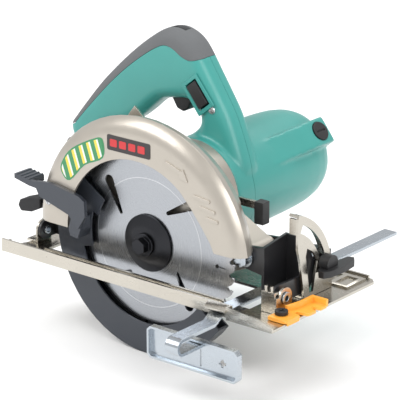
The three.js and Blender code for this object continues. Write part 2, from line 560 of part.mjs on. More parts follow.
const brush = (name, deg) => {
  const bar = new THREE.BoxGeometry(16, 9, 6).translate(22.6, BRUSH_Y, 0).rotateY(-rad(deg));
  return mesh(name, solid(bar.translate(MOTOR.x, 0, MOTOR.z)), CARBON);
};

// Screwed cap over a brush, with a coin slot.
const brushCap = (name, deg) => {
  const slot = new THREE.BoxGeometry(2, 10, 1.6).translate(48.4, BRUSH_Y, 0).rotateY(-rad(deg));
  return mesh(name, cut(radial(7.8, 35, 48.6, deg, BRUSH_Y), solid(slot.translate(MOTOR.x, 0, MOTOR.z))),
    BLACK);
};

// ---- Spindle and blade ----
function driveGear() {
  const teeth = plateY(gearOutline(GEAR_TEETH, LINE_DEG, 0.8), 22.5, 31.5);
  const notches = [0, 90, 180, 270].map((deg) => solid(new THREE.BoxGeometry(12, 6, 6.4)
    .translate(20.5, 20, 0).rotateY(-rad(deg))));
  const collar = cut(rodY(19, 19.4, 22.6, 0, 0, 32), ...notches.map((n) =>
    n.subtract(box(-40, 40, 22.5, 30, -40, 40))));
  return mesh('drive_gear', cut(join(teeth, collar), rodY(7.3, 10, 40, 0, 0)), STEEL);
}

const spindle = () => mesh('spindle', cut(join(rodY(7, -0.5, 38), rodY(11.5, 4.95, 8.5)), rodY(4, -2, 14)),
  STEEL);
const innerFlange = () => mesh('inner_flange', cut(join(rodY(20, 1.1, 4.6), rodY(9.7, -0.5, 1.2)), rodY(7.3,
  -5, 8)), STEEL);

function blade() {
  const pitch = 360 / TEETH, points = [];
  for (let i = 0; i < TEETH; i++) {
    const deg = i * pitch;
    points.push(at(0, 0, BLADE_R, deg), at(0, 0, 77.4, deg + 1.1), at(0, 0, BLADE_R - 1.6,
      deg + pitch - 2.4));
  }
  const shape = outline(points.map(([x, z]) => [x, z]));
  const ring = (cx, cz, r, sides) => outline(Array.from({ length: sides }, (_, i) =>
    at(cx, cz, r, (360 * i) / sides)));
  shape.holes.push(ring(0, 0, 10, 24));
  for (const deg of [146, 56, -34, -124]) shape.holes.push(teardrop(deg));
  for (const deg of [-3, 87, 177, 267]) shape.holes.push(ring(...at(0, 0, 65.5, deg), 1.7, 8));
  return mesh('blade', plateY(shape, -BLADE_T / 2, BLADE_T / 2), STEEL);
}

// Cooling slot in the blade: narrow near the flange, wide outside, leaning back.
function teardrop(deg) {
  const [nx, nz] = at(0, 0, 33, deg), [wx, wz] = at(0, 0, 57, deg - 13);
  const lean = THREE.MathUtils.radToDeg(Math.atan2(wz - nz, wx - nx)), points = [];
  for (let a = -90; a <= 90; a += 30) points.push(at(wx, wz, 4.2, lean + a));
  for (let a = 90; a <= 270; a += 60) points.push(at(nx, nz, 1.5, lean + a));
  return outline(points);
}

const outerFlange = () => mesh('outer_flange', turned([[4.3, -5.4], [13, -5.4], [15.5, -4.7], [22.5, -2.6],
  [22.5, -1.1],
  [4.3, -1.1], [4.3, -5.4]], 0, 0, 32), BLACK);
const bladeBolt = () => mesh('blade_bolt', join(rodY(3.7, -9, 12, 0, 0, 16), rodY(9, -8, -5.7, 0, 0, 24),
  hexY(6.6, -14.2, -7.8)), BLACK);

// ---- Lower guard ----
function lowerGuard() {
  const front = GUARD_FRONT_DEG, rear = GUARD_REAR_DEG, y0 = GUARD_NEAR, y1 = GUARD_FAR;
  const near = join(plateY(sector(0, 0, 64, GUARD_R, rear, front, 30), y0, y0 + 1.5),
    plateY(sector(0, 0, 48, 70, rear, -196, 6), y0, y0 + 1.5), plateY(sector(0, 0, 54, 70, -197, -166, 8),
      y0, y0 + 1.5));
  const rim = plateY(sector(0, 0, GUARD_R - 1.7, GUARD_R, rear, front, 30), y0, y1);
  const far = join(plateY(sector(0, 0, 22, GUARD_R, rear, front, 30), y1 - 1.4, y1), rodY(27, y1 - 1.4, y1,
    0, 0, 40));
  const ribs = [-184, -188, -192, -196, -200].map((deg) =>
    plateY(sector(0, 0, 68, 85.5, deg, deg + 2, 2), y0 - 1, y0 + 1));
  return mesh('lower_guard', cut(join(near, rim, far, ...ribs), rodY(20.4, 0, 10, 0, 0, 40)), SLATE);
}

// The lever that opens the guard reaches through the window of the case and out past its rear.
function guardLever() {
  const plate = outline([[-97, 28.5], [-93.5, 22], [-64, 13.5], [-54, 4], [-47, 15], [-47.5, 27], [-53,
    30.5], [-82, 35],
    [-97, 33.5]]);
  const root = outline([[-64.5, -4], [-57, -5], [-54, 2], [-54, 12], [-62, 12], [-66, 2]]);
  const pad = outline([[-119, 31.6], [-104, 28.4], [-94, 27.6], [-94, 32.6], [-104, 33], [-119, 35.2]]);
  const ribs = [-117, -113, -109, -105].map((x) => rodY(0.9, -20.5, -3.5, x, 34.9 + 0.14 * (-x - 117) - 0.1,
    8));
  return mesh('guard_lever', join(plateY(plate, -20.5, -17.3), plateY(root, -18, GUARD_NEAR - GAP),
    plateY(pad, -20.5, -17.3), cut(plateY(pad, -20.5, -3.5), box(-103.4, -80, -17.3, 0, 0, 60)), ...ribs),
      SLATE);
}

// ---- Depth clamp and shaft lock ----
const STUD = [DEPTH.x - LINK_R * Math.cos(rad(LINK_DEG)), DEPTH.z + LINK_R * Math.sin(rad(LINK_DEG))];
const clampStud = () => mesh('depth_clamp_stud', join(rodY(7, 11.3, 15, ...STUD), rodY(3, 11.3, 30,
  ...STUD)), ZINC);

function depthLever() {
  const [x, z] = STUD;
  const arm = outline([[x - 2, z - 7], [x + 2, z + 7], [x - 40, z + 2], [-120, 6], [-134, 1], [-132, -5],
    [-118, -1], [x - 40, z - 6]]);
  return mesh('depth_lever', cut(join(rodY(9, 17.7, 27, x, z), plateY(arm, 18.4, 22.4)), rodY(3.3, 15, 29,
    x, z)), BLACK);
}
const depthKnob = () => mesh('depth_lever_knob', cut(plateY(outline([[-146, -1], [-148, -6], [-145, -10.5],
  [-134, -9],
  [-124, -4], [-124, 4], [-136, 2.5]]), 13, 25), plateY(outline([[-120, 6.3], [-134.4, 1.3], [-132.3, -5.3],
    [-118, -1.3]]),
  18.1, 22.7)), RUBBER);

function shaftLock() {
  const plate = join(box(23.6, 91, 19.6, 22.2, 40, 46), box(23.6, 27.5, 19.6, 22.2, -2.6, 44), box(20.5, 25,
    19.6, 22.2, -2.6, 2.6));
  return mesh('shaft_lock', plate, NICKEL);
}
const lockCap = () => mesh('shaft_lock_cap', cut(box(86.5, 94.5, 16.4, 24.6, 30, 47.2), box(80, 91.3, 19.3,
  22.5, 39.7, 46.3)), BLACK);

// ---- Assembly ----
function group(...parts) {
  const assembly = new THREE.Group();
  assembly.add(...parts);
  return assembly;
}

const base = group(basePlate(), frontEar(), rearEar(), bevelQuadrant(), pivotPin('front_pivot_pin', 116.5,
  128, 127.1, 128.2),
  pivotPin('rear_pivot_pin', -113, -105, -113.2, -111.8), sightGuide(), sightScrew(), guideKnob());
const ripGuide = group(guideBar(), fencePlate());
const tiltFrame = group(frontBracket(), rearBracket(), depthLink(), bevelBolt(), bevelLever(),
  depthPivotBolt());
const housings = group(bladeCase(), gearHousing(), motorBracket(), guardRing(), guardSpring(),
  lightModule(), lightLens(),
  bearing('spindle_bearing', 7.3, 15, 11.5, 18.6, 0, 0), bearing('motor_bearing_front', 5.3, 11, 35.7, 39.6,
    MOTOR.x, MOTOR.z),
  bearing('motor_bearing_rear', 5.3, 9.6, 160, 167, MOTOR.x, MOTOR.z));
const moulded = group(handleCover(), motorHousing(), softGrip(), switchBezel(), cordGland(),
  trigger(), lightSwitch(), lockButton());
const motor = group(statorCore(), fieldCoil('field_coil_upper', BRUSH_DEG + 90),
  fieldCoil('field_coil_lower', BRUSH_DEG + 270),
  brush('brush_front', BRUSH_DEG), brush('brush_rear', BRUSH_DEG + 180), brushCap('brush_cap_front',
    BRUSH_DEG),
  brushCap('brush_cap_rear', BRUSH_DEG + 180));
const armature = group(armatureShaft(), fan(), onMotor('armature_core', 5.3, 20.6, 72, 118, IRON),
  onMotor('armature_winding', 5.3, 17, 118.4, 132, COPPER), onMotor('commutator', 5.3, 14.2, 139, 157,
    COPPER, 24));
const cutting = group(spindle(), driveGear(), innerFlange(), blade(), outerFlange(), bladeBolt());
const guard = group(lowerGuard(), guardLever());
const controls = group(clampStud(), depthLever(), depthKnob(), shaftLock(), lockCap());

const saw = group(base, ripGuide, tiltFrame, housings, moulded, motor, armature, cutting, guard, controls);
saw.position.set(-ORIGIN.x, -ORIGIN.y, -SOLE_Z);

export default group(saw);
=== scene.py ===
"""Finishes a corded circular saw around its packed frame: shell, blade, hardware, markings and studio."""
import json
import math
import bmesh
import bpy
from bpy.props import FloatProperty, FloatVectorProperty, IntProperty, PointerProperty
from mathutils import Matrix, Vector
from mathutils.geometry import tessellate_polygon


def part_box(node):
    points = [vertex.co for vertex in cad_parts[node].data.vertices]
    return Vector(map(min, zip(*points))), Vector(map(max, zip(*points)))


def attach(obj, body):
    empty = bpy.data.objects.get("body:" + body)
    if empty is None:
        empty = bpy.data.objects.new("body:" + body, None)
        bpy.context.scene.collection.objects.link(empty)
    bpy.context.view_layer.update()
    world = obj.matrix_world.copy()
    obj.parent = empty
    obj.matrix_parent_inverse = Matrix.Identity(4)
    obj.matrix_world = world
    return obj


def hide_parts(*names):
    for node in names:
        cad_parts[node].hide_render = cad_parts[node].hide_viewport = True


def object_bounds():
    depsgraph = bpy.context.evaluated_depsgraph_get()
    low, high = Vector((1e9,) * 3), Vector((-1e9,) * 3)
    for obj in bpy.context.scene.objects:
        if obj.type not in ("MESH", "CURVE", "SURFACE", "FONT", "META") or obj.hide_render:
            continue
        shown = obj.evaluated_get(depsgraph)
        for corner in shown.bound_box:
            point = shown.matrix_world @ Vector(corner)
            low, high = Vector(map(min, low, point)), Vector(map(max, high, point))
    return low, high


bl_info = {
    "name": "Circular saw finish",
    "version": (1, 0, 0),
    "blender": (4, 5, 0),
    "location": "3D View > Sidebar > Saw",
    "description": "Builds the finished surfaces of a circular saw around its frame",
    "category": "Object",
}

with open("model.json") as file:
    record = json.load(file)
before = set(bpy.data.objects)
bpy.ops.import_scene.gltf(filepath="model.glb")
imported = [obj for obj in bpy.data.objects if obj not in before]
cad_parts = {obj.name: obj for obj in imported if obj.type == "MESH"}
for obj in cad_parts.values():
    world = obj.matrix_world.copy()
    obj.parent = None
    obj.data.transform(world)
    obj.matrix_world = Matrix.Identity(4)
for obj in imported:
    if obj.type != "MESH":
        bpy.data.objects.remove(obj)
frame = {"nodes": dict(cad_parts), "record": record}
CAD_BOX = [list(map(float, corner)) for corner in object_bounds()]
MM = 0.001


def middle(node):
    low, high = (Vector(c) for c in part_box(node))
    return (low + high) / 2


ARBOR = middle("blade")
MOTOR = middle("armature_core") - ARBOR          # the motor's axis, from the blade's centre
FLOOR_Z = CAD_BOX[0][2] - 0.0003
CASE_FACE = -16.2               # the blade case's outer face, in Y
BLADE_R = 82.5
BLADE_HALF = 0.75               # half the blade's thickness
SLOT_DEGS = (146, 56, -34, -124)
SLIT_DEGS = (-3, 87, 177, 267)
HOT_FROM, HOT_WIDTH = 70.0, 12.0    # where the blade has run hot: from this radius, fading in over this width


# ---- Meshes ----
def at(x, y, z):
    """A point given in millimetres from the blade's centre."""
    return ARBOR + Vector((x, y, z)) * MM


def polar(r, deg, x=0.0, z=0.0):
    return (x + r * math.cos(math.radians(deg)), z + r * math.sin(math.radians(deg)))


def sheet(name, points, faces):
    """A mesh object from points in metres."""
    mesh = bpy.data.meshes.new(name)
    mesh.from_pydata([tuple(p) for p in points], [], [tuple(f) for f in faces])
    obj = bpy.data.objects.new(name, mesh)
    bpy.context.scene.collection.objects.link(obj)
    tidy(obj)
    return obj


def tidy(obj, merge=1e-6, flat=None):
    """Merges doubles, turns every face outwards and, if asked, joins flat triangles."""
    work = bmesh.new()
    work.from_mesh(obj.data)
    bmesh.ops.remove_doubles(work, verts=work.verts, dist=merge)
    if flat:
        bmesh.ops.dissolve_limit(work, angle_limit=math.radians(flat), verts=work.verts, edges=work.edges)
    bmesh.ops.recalc_face_normals(work, faces=work.faces)
    work.to_mesh(obj.data)
    work.free()


def prism(name, loops, low, high, place):
    """A plate between two levels; its first loop is the outline and the rest are holes."""
    flat = [[Vector((u, v, 0)) for u, v in loop] for loop in loops]
    total = sum(len(loop) for loop in loops)
    points = [place(p.x, p.y, level) for level in (low, high) for loop in flat for p in loop]
    caps = [list(t) for t in tessellate_polygon(flat)]
    faces = caps + [[i + total for i in reversed(t)] for t in caps]
    start = 0
    for loop in loops:
        n = len(loop)
        for i in range(n):
            j = (i + 1) % n
            faces.append((start + i, start + j, start + j + total, start + i + total))
        start += n
    return sheet(name, points, faces)


def side_plate(name, loops, y0, y1):
    return prism(name, loops, y0, y1, lambda u, v, level: at(u, level, v))


def block(name, x0, x1, y0, y1, z0, z1):
    return side_plate(name, [[(x0, z0), (x1, z0), (x1, z1), (x0, z1)]], y0, y1)


def turned(name, profile, centre=(0, 0), sides=96):
    """A body turned about the Y direction from [radius, y] points that start and end on the axis."""
    points, faces, n = [], [], len(profile)
    for i in range(sides):
        c, s = math.cos(2 * math.pi * i / sides), math.sin(2 * math.pi * i / sides)
        points += [at(centre[0] + r * c, y, centre[1] + r * s) for r, y in profile]
    for i in range(sides):
        j = (i + 1) % sides
        for k in range(n - 1):
            faces.append((i * n + k, i * n + k + 1, j * n + k + 1, j * n + k))
    obj = sheet(name, points, faces)
    tidy(obj, 1e-5)
    return obj


def smooth_loop(points, steps=6):
    """A closed curve through the points, eased by a Catmull-Rom spline."""
    out, n = [], len(points)
    for i in range(n):
        p0, p1, p2, p3 = (Vector(points[(i + k - 1) % n]) for k in range(4))
        for s in range(steps):
            t = s / steps
            out.append(0.5 * (2 * p1 + (p2 - p0) * t + (2 * p0 - 5 * p1 + 4 * p2 - p3) * t * t
                              + (3 * p1 - p0 - 3 * p2 + p3) * t ** 3))
    return [(p.x, p.y) for p in out]


def inset(points, distance):
    """Moves an anticlockwise outline inwards; a negative distance moves it outwards."""
    out, n = [], len(points)
    for i in range(n):
        a, b, c = (Vector(points[(i + k) % n]) for k in (-1, 0, 1))
        u, v = (b - a).normalized(), (c - b).normalized()
        normal = Vector((-u.y - v.y, u.x + v.x)).normalized()
        out.append(tuple(b + normal * distance / max(0.5, normal.dot(Vector((-u.y, u.x))))))
    return out


def baked(obj):
    """Applies an object's modifiers to its mesh."""
    bpy.context.view_layer.update()
    done = obj.evaluated_get(bpy.context.evaluated_depsgraph_get())
    mesh = bpy.data.meshes.new_from_object(done)
    obj.modifiers.clear()
    obj.data = mesh
    return obj


def boolean(obj, tool, operation):
    step = obj.modifiers.new("cut", "BOOLEAN")
    step.operation, step.object, step.solver = operation, tool, "EXACT"
    baked(obj)
    bpy.data.objects.remove(tool)
    return obj


def merged(name, parts):
    """Several closed pieces as one object."""
    work = bmesh.new()
    for part in parts:
        work.from_mesh(part.data)
    mesh = bpy.data.meshes.new(name)
    work.to_mesh(mesh)
    work.free()
    for part in parts:
        bpy.data.objects.remove(part)
    obj = bpy.data.objects.new(name, mesh)
    bpy.context.scene.collection.objects.link(obj)
    return obj


def eased(obj, width=0.4, segments=2, angle=32):
    """Rounds the sharp edges by a small radius and shades the rest smooth."""
    obj.data.shade_smooth()
    obj.data.set_sharp_from_angle(angle=math.radians(angle))
    if width:
        step = obj.modifiers.new("edges", "BEVEL")
        step.width, step.segments, step.limit_method = width * MM, segments, "ANGLE"
        step.angle_limit, step.harden_normals = math.radians(angle), True
        baked(obj)
    return obj


def settle(obj, body, slot, material, *nodes):
    """Gives a finished piece its body, its slot, its material and the CAD nodes it stands for."""
    obj.data.materials.clear()
    obj.data.materials.append(material)
    for face in obj.data.polygons:
        face.material_index = 0
    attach(obj, body)
    if nodes:
        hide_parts(*nodes)
    return obj


# ---- Repeats by Geometry Nodes ----
def arc_tree():
    """Copies an item around the Y direction: Count copies, Step apart, from Start, at Radius."""
    tree = bpy.data.node_groups.new("arc_repeat", "GeometryNodeTree")
    face = tree.interface
    face.new_socket("Item", in_out="INPUT", socket_type="NodeSocketObject")
    face.new_socket("Count", in_out="INPUT", socket_type="NodeSocketInt")
    for label in ("Radius", "Start", "Step"):
        face.new_socket(label, in_out="INPUT", socket_type="NodeSocketFloat")
    face.new_socket("Material", in_out="INPUT", socket_type="NodeSocketMaterial")
    face.new_socket("Geometry", in_out="OUTPUT", socket_type="NodeSocketGeometry")
    make, link = tree.nodes.new, tree.links.new
    given, result = make("NodeGroupInput"), make("NodeGroupOutput")

    def maths(operation, *values):
        node = make("ShaderNodeMath")
        node.operation = operation
        for i, value in enumerate(values):
            if isinstance(value, (int, float)):
                node.inputs[i].default_value = value
            else:
                link(value, node.inputs[i])
        return node.outputs[0]

    line, item = make("GeometryNodeMeshLine"), make("GeometryNodeObjectInfo")
    item.transform_space = "ORIGINAL"
    link(given.outputs["Count"], line.inputs["Count"])
    link(given.outputs["Item"], item.inputs["Object"])
    index = make("GeometryNodeInputIndex").outputs[0]
    turn = maths("ADD", given.outputs["Start"], maths("MULTIPLY", index, given.outputs["Step"]))
    spot, spin = make("ShaderNodeCombineXYZ"), make("ShaderNodeCombineXYZ")
    link(maths("MULTIPLY", maths("COSINE", turn), given.outputs["Radius"]), spot.inputs[0])
    link(maths("MULTIPLY", maths("SINE", turn), given.outputs["Radius"]), spot.inputs[2])
    link(maths("MULTIPLY", turn, -1.0), spin.inputs[1])
    place, copies = make("GeometryNodeSetPosition"), make("GeometryNodeInstanceOnPoints")
    link(line.outputs[0], place.inputs["Geometry"])
    link(spot.outputs[0], place.inputs["Position"])
    link(place.outputs[0], copies.inputs["Points"])
    link(item.outputs["Geometry"], copies.inputs["Instance"])
    link(spin.outputs[0], copies.inputs["Rotation"])
    real, paint = make("GeometryNodeRealizeInstances"), make("GeometryNodeSetMaterial")
    link(copies.outputs[0], real.inputs[0])
    link(real.outputs[0], paint.inputs["Geometry"])
    link(given.outputs["Material"], paint.inputs["Material"])
    link(paint.outputs[0], result.inputs[0])
    return tree


def arc_of(name, item, count, radius, start, step, material, place):
    """Repeats an item, made about the origin, on an arc and moves the result into place."""
    holder = bpy.data.objects.new(name, bpy.data.meshes.new(name))
    bpy.context.scene.collection.objects.link(holder)
    tree = bpy.data.node_groups.get("arc_repeat") or arc_tree()
    change = holder.modifiers.new("repeat", "NODES")
    change.node_group = tree
    values = {"Item": item, "Count": count, "Radius": radius * MM, "Start": math.radians(start),
              "Step": math.radians(step), "Material": material}
    for socket in tree.interface.items_tree:
        if socket.in_out == "INPUT" and socket.name in values:
            change[socket.identifier] = values[socket.name]
    baked(holder)
    bpy.data.objects.remove(item)
    holder.data.transform(place)
    return holder


def local_block(name, sx, sy, sz):
    """A small block about the origin, sizes in millimetres."""
    work = bmesh.new()
    bmesh.ops.create_cube(work, size=1.0, matrix=Matrix.Diagonal((sx * MM, sy * MM, sz * MM, 1)))
    bmesh.ops.bevel(work, geom=work.edges[:], offset=min(sx, sy, sz) * 0.18 * MM, segments=1, affect="EDGES")
    mesh = bpy.data.meshes.new(name)
    work.to_mesh(mesh)
    work.free()
    obj = bpy.data.objects.new(name, mesh)
    bpy.context.scene.collection.objects.link(obj)
    return obj


# ---- Materials ----
class Field:
    """A node socket that adds a Math node for each sign it is used with."""

    def __init__(self, book, socket):
        self.book, self.socket = book, socket

    def maths(self, operation, *values):
        return self.book.node("ShaderNodeMath", {"operation": operation}, dict(enumerate(values)))

    def __add__(self, other):
        return self.maths("ADD", self, other)

    def __sub__(self, other):
        return self.maths("SUBTRACT", self, other)

    def __mul__(self, other):
        return self.maths("MULTIPLY", self, other)

    def __truediv__(self, other):
        return self.maths("DIVIDE", self, other)

    def __pow__(self, other):
        return self.maths("POWER", self, other)

    def above(self, edge):
        return self.maths("GREATER_THAN", self, edge)

    __radd__ = __add__


class Finish:
    """One material: a Principled surface and the nodes that feed it."""

    def __init__(self, name, metallic=0.0, coat=0.0, specular=0.5):
        self.material = bpy.data.materials.new(name)
        self.material.use_nodes = True
        self.tree = self.material.node_tree
        self.shader = next(n for n in self.tree.nodes if n.type == "BSDF_PRINCIPLED")
        self.shader.inputs["Metallic"].default_value = metallic
        self.shader.inputs["Coat Weight"].default_value = coat
        self.shader.inputs["Coat Roughness"].default_value = 0.12
        self.shader.inputs["Specular IOR Level"].default_value = specular
        self.coords = self.node("ShaderNodeTexCoord", output="Object")

    def node(self, kind, settings=None, inputs=None, output=0):
        made = self.tree.nodes.new(kind)
        for key, value in (settings or {}).items():
            setattr(made, key, value)
        for key, value in (inputs or {}).items():
            if isinstance(value, Field):
                self.tree.links.new(value.socket, made.inputs[key])
            else:
                made.inputs[key].default_value = value
        return Field(self, made.outputs[output])

    def noise(self, size, detail=3.0, stretch=(1, 1, 1), rough=0.55):
        """Noise whose grain is about size millimetres, drawn out along an axis by stretch."""
        where = self.node("ShaderNodeMapping", None, {"Vector": self.coords, "Scale": stretch})
        return self.node("ShaderNodeTexNoise", None, {
            "Vector": where, "Scale": 1000.0 / size, "Detail": detail, "Roughness": rough})

    def mix(self, first, second, factor):
        return self.node("ShaderNodeMix", {"data_type": "RGBA"}, {0: factor, 6: first, 7: second}, 2)

    def bump(self, height, strength, depth=0.1):
        return self.node("ShaderNodeBump", None, {
            "Height": height, "Strength": strength, "Distance": depth * MM})

    def end(self, **feeds):
        for key, value in feeds.items():
            socket = self.shader.inputs[key.replace("_", " ")]
            if isinstance(value, Field):
                self.tree.links.new(value.socket, socket)
            else:
                socket.default_value = value
        return self.material

    def from_axis(self, centre):
        """Millimetres from a line along Y through a centre, then the offsets from it in metres."""
        parts = self.tree.nodes.new("ShaderNodeSeparateXYZ")
        self.tree.links.new(self.coords.socket, parts.inputs[0])
        x, z = Field(self, parts.outputs[0]) - centre.x, Field(self, parts.outputs[2]) - centre.z
        return (x * x + z * z) ** 0.5 * 1000.0, x, z


def shade(colour, k):
    return tuple(min(1.0, c * k) for c in colour[:3]) + (1.0,)


def moulded(name, colour, rough=0.38, grain=0.5, depth=0.02, coat=0.0, spread=0.08):
    """Moulded plastic: fine spark-eroded grain, faint flow marks, handled patches a little glossier."""
    f = Finish(name, coat=coat)
    fine, broad = f.noise(grain, 2.0), f.noise(45.0, 3.0)
    worn = f.noise(9.0, 4.0)
    f.end(Base_Color=f.mix(shade(colour, 1 - spread), shade(colour, 1 + spread), broad),
          Roughness=rough + (worn - 0.5) * 0.16 + (fine - 0.5) * 0.1, Normal=f.bump(fine, 0.35, depth))
    return f.material


def rubbery(name, colour, grain=0.7):
    """Overmoulded grip: matt, with a pebbled skin and dust in the pores."""
    f = Finish(name, specular=0.35)
    cells = f.node("ShaderNodeTexVoronoi", None, {"Vector": f.coords, "Scale": 1000.0 / grain})
    broad, dust = f.noise(30.0, 3.0), f.noise(3.0, 4.0)
    f.end(Base_Color=f.mix(shade(colour, 0.88), shade(colour, 1.12), broad * 0.6 + dust * 0.4),
          Roughness=0.62 + dust * 0.2, Normal=f.bump(cells, 0.5, 0.06))
    return f.material


def brushed(name, colour, rough=0.28, stretch=(0.03, 1, 1), grain=0.35, metallic=1.0, spread=0.1, depth=0.01):
    """Bare or plated metal: fine drawn lines, cloudy reflections and small scuffs."""
    f = Finish(name, metallic=metallic)
    lines, cloud, scuff = f.noise(grain, 2.0, stretch), f.noise(22.0, 3.0), f.noise(2.2, 5.0)
    marks = (scuff - 0.62) * 6.0
    f.end(Base_Color=f.mix(shade(colour, 1 - spread), shade(colour, 1 + spread), cloud * 0.7 + lines * 0.3),
          Roughness=(rough + (lines - 0.5) * 0.18 + (cloud - 0.5) * 0.16
                     + marks.maths("MAXIMUM", marks, 0.0) * 0.15),
          Normal=f.bump(lines, 0.25, depth))
    return f.material


def sprayed(name, colour, rough=0.4, metallic=0.0, flake=0.0, grain=0.9, depth=0.03, coat=0.15):
    """Paint on metal: orange-peel, faint metal flake and thinner, paler colour in patches."""
    f = Finish(name, metallic=metallic, coat=coat)
    peel, cloud = f.noise(grain * 2.2, 2.0), f.noise(28.0, 4.0)
    sparkle = f.noise(grain * 0.35, 1.0)
    dark, pale = shade(colour, 0.93 - flake), shade(colour, 1.07 + flake)
    f.end(Base_Color=f.mix(dark, pale, cloud * 0.65 + sparkle * 0.35),
          Roughness=rough + (cloud - 0.5) * 0.14 + (sparkle - 0.5) * 0.12, Normal=f.bump(peel, 0.3, depth))
    return f.material


def ground_steel(name, colour, centre, lines=0.45, rough=0.27):
    """Steel ground in circles about an axis, with a warm band where it has run hot."""
    f = Finish(name, metallic=1.0)
    radius = f.from_axis(centre)[0]
    ring = f.node("ShaderNodeTexNoise", {"noise_dimensions": "1D"},
                  {"W": radius / lines, "Scale": 1.0, "Detail": 2.0})
    cloud = f.noise(30.0, 3.0)
    hot = (radius - HOT_FROM) / HOT_WIDTH
    edge = hot.maths("MAXIMUM", hot, 0.0)
    plain = f.mix(shade(colour, 0.9), shade(colour, 1.1), ring * 0.5 + cloud * 0.5)
    f.end(Base_Color=f.mix(plain, shade((0.50, 0.47, 0.43), 1.0), edge * 0.35),
          Roughness=rough + (ring - 0.5) * 0.2 + (cloud - 0.5) * 0.12, Normal=f.bump(ring, 0.2, 0.01))
    return f.material


def striped(name, first, second, third, pitch=9.0):
    """A printed label of plain slanting bands, under a clear film."""
    f = Finish(name, coat=0.6)
    x, z = f.from_axis(ARBOR)[1:]
    across = (x + z * 0.35) * (1000.0 / pitch)
    wave = across.maths("FRACT", across)
    dust = f.noise(4.0, 3.0)
    two = f.mix(first + (1,), second + (1,), wave.above(0.5))
    f.end(Base_Color=f.mix(two, third + (1,), wave.above(0.8)), Roughness=0.3 + dust * 0.12)
    return f.material


FINISHES = {}


def finishes():
    """Every material of the saw, by name."""
    if FINISHES:
        return FINISHES
    c = bpy.context.scene.saw_colours
    F = FINISHES
    F["teal"] = moulded("teal_housing", tuple(c.housing), rough=0.36, coat=0.12)
    F["grip"] = rubbery("soft_grip_skin", tuple(c.grip))
    F["case"] = sprayed("metallic_case_paint", tuple(c.case), rough=0.33, metallic=0.62, flake=0.05, coat=0.2)
    bare = shade(tuple(c.case), 0.9)[:3]
    F["cast"] = sprayed("bare_casting", bare, rough=0.42, metallic=0.7, flake=0.04, depth=0.07)
    F["slate"] = sprayed("guard_paint", tuple(c.guard), rough=0.36, metallic=0.25)
    F["black"] = moulded("black_plastic", (0.012, 0.012, 0.013), rough=0.46, grain=0.45, spread=0.2)
    F["enamel"] = sprayed("black_enamel", (0.014, 0.014, 0.016), rough=0.34, coat=0.25)
    F["rubber"] = rubbery("black_rubber", (0.025, 0.025, 0.027), 0.9)
    F["nickel"] = brushed("nickel_plate", tuple(c.base), rough=0.24, stretch=(0.04, 1, 1))
    F["zinc"] = brushed("zinc_plate", (0.46, 0.50, 0.54), rough=0.25, stretch=(1, 0.05, 1))
    F["steel"] = brushed("turned_steel", (0.56, 0.57, 0.59), rough=0.3, stretch=(1, 0.2, 1))
    F["blade"] = ground_steel("ground_blade", (0.37, 0.385, 0.41), ARBOR)
    F["flange"] = ground_steel("black_flange", (0.035, 0.036, 0.04), ARBOR, 0.8, 0.36)
    F["carbide"] = brushed("carbide", (0.42, 0.42, 0.44), rough=0.35, stretch=(1, 1, 1), grain=0.2)
    F["orange"] = moulded("orange_plastic", (0.90, 0.38, 0.045), rough=0.34, coat=0.1)
    F["copper"] = brushed("winding_copper", (0.62, 0.29, 0.14), rough=0.36, stretch=(1, 0.1, 1), grain=0.8)
    F["iron"] = brushed("laminations", (0.24, 0.25, 0.27), rough=0.5, stretch=(1, 8, 1), grain=1.0)
    F["carbon"] = moulded("carbon_block", (0.03, 0.03, 0.033), rough=0.6, grain=0.3)
    F["lens"] = moulded("lamp_lens", (0.75, 0.80, 0.82), rough=0.12, grain=2.0, coat=0.8)
    F["badge"] = moulded("badge_ground", (0.016, 0.012, 0.013), rough=0.4, coat=0.2)
    F["badge_bar"] = moulded("badge_bar", (0.50, 0.018, 0.022), rough=0.4, coat=0.2)
    F["decal"] = striped("decal_bands", (0.012, 0.20, 0.065), (0.72, 0.55, 0.05), (0.66, 0.68, 0.65))
    F["decal_edge"] = moulded("decal_edge", (0.012, 0.20, 0.065), rough=0.3, coat=0.5)
    F["ink"] = moulded("marking_ink", (0.04, 0.04, 0.045), rough=0.5)
    return F


# ---- CAD pieces that keep their shape ----
# node: material, edge radius in millimetres
DRESSED = {
    "base_plate": ("nickel", 0.35), "bevel_quadrant": ("nickel", 0.3), "front_pivot_ear": ("nickel", 0.3),
    "rear_pivot_ear": ("nickel", 0.3), "front_pivot_pin": ("zinc", 0.5), "rear_pivot_pin": ("zinc", 0.5),
    "sight_guide": ("orange", 0.35), "sight_guide_screw": ("black", 0.4), "guide_knob": ("black", 0.8),
    "guide_bar": ("zinc", 0.3), "fence_plate": ("zinc", 0.35), "front_bracket": ("enamel", 0.3),
    "rear_bracket": ("enamel", 0.3), "depth_link": ("nickel", 0.3), "bevel_bolt": ("zinc", 0.4),
    "bevel_lever": ("black", 1.2), "depth_pivot_bolt": ("zinc", 0.4), "blade_case": ("case", 0.45),
    "gear_housing": ("cast", 0.6), "depth_clamp_stud": ("zinc", 0.4), "depth_lever": ("enamel", 0.6),
    "depth_lever_knob": ("rubber", 1.4), "shaft_lock": ("nickel", 0.3), "shaft_lock_cap": ("black", 1.2),
    "lower_guard": ("slate", 0.3), "guard_lever": ("slate", 0.7), "brush_cap_front": ("black", 0.6),
    "brush_cap_rear": ("black", 0.6), "outer_flange": ("flange", 0.3), "blade_bolt": ("flange", 0.45),
    "switch_bezel": ("teal", 0.5), "light_switch": ("black", 0.8), "lock_button": ("black", 1.0),
    "trigger": ("black", 1.6), "cord_gland": ("rubber", 0.6),
}
